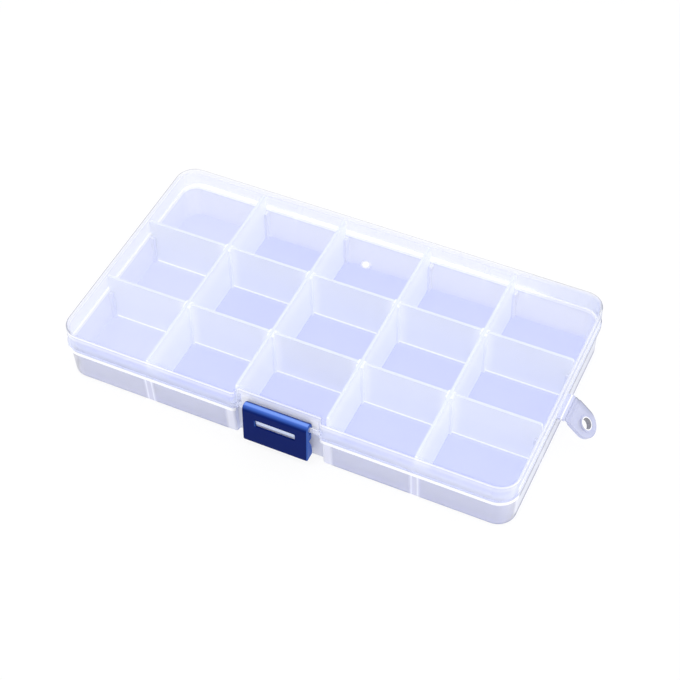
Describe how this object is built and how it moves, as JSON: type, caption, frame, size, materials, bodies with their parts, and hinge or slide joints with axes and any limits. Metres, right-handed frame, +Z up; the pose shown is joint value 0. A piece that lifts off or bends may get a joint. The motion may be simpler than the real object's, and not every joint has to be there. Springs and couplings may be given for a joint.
{
  "type": "compartment storage box",
  "caption": "Shallow clear plastic storage box with a grid of compartments, a rear-hinged lid, a coloured snap latch clip and a drooping hanging tab.",
  "frame": {"origin": "centre of the tray's flat underside, on the surface that the box stands on", "axes": "+X along the box towards the end with the hanging tab, the latch on the front at -Y, the hinge at the back at +Y, +Z up through the lid"},
  "size_m": [0.1883, 0.1036, 0.0235],
  "materials": {
    "clear_polypropylene": "glossy, translucent natural polypropylene",
    "latch_blue": "satin-gloss, opaque blue polypropylene"
  },
  "bodies": {
    "tray": {"base_tray": "clear_polypropylene", "cross_partition_1": "clear_polypropylene", "cross_partition_2": "clear_polypropylene", "cross_partition_3": "clear_polypropylene", "cross_partition_4": "clear_polypropylene", "short_divider_front_1": "clear_polypropylene", "short_divider_front_2": "clear_polypropylene", "short_divider_front_3": "clear_polypropylene", "short_divider_front_4": "clear_polypropylene", "short_divider_front_5": "clear_polypropylene", "short_divider_back_1": "clear_polypropylene", "short_divider_back_2": "clear_polypropylene", "short_divider_back_3": "clear_polypropylene", "short_divider_back_4": "clear_polypropylene", "short_divider_back_5": "clear_polypropylene"},
    "lid": {"lid": "clear_polypropylene"},
    "latch": {"latch_clip": "latch_blue"},
    "hang_tab": {"hang_tab": "clear_polypropylene"}
  },
  "joints": [
    {"name": "lid_hinge", "type": "hinge", "parent": "tray", "child": "lid", "pos_m": [0, 0.0509, 0.0139], "axis": [-1, 0, 0], "range_deg": [0, 180]},
    {"name": "latch_hinge", "type": "hinge", "parent": "lid", "child": "latch", "pos_m": [0, -0.0478, 0.0175], "axis": [-1, 0, 0], "range_deg": [-6, 110]},
    {"name": "tab_hinge", "type": "hinge", "parent": "lid", "child": "hang_tab", "pos_m": [0.0908, 0, 0.01485], "axis": [0, -1, 0], "range_deg": [-42, 120]}
  ]
}
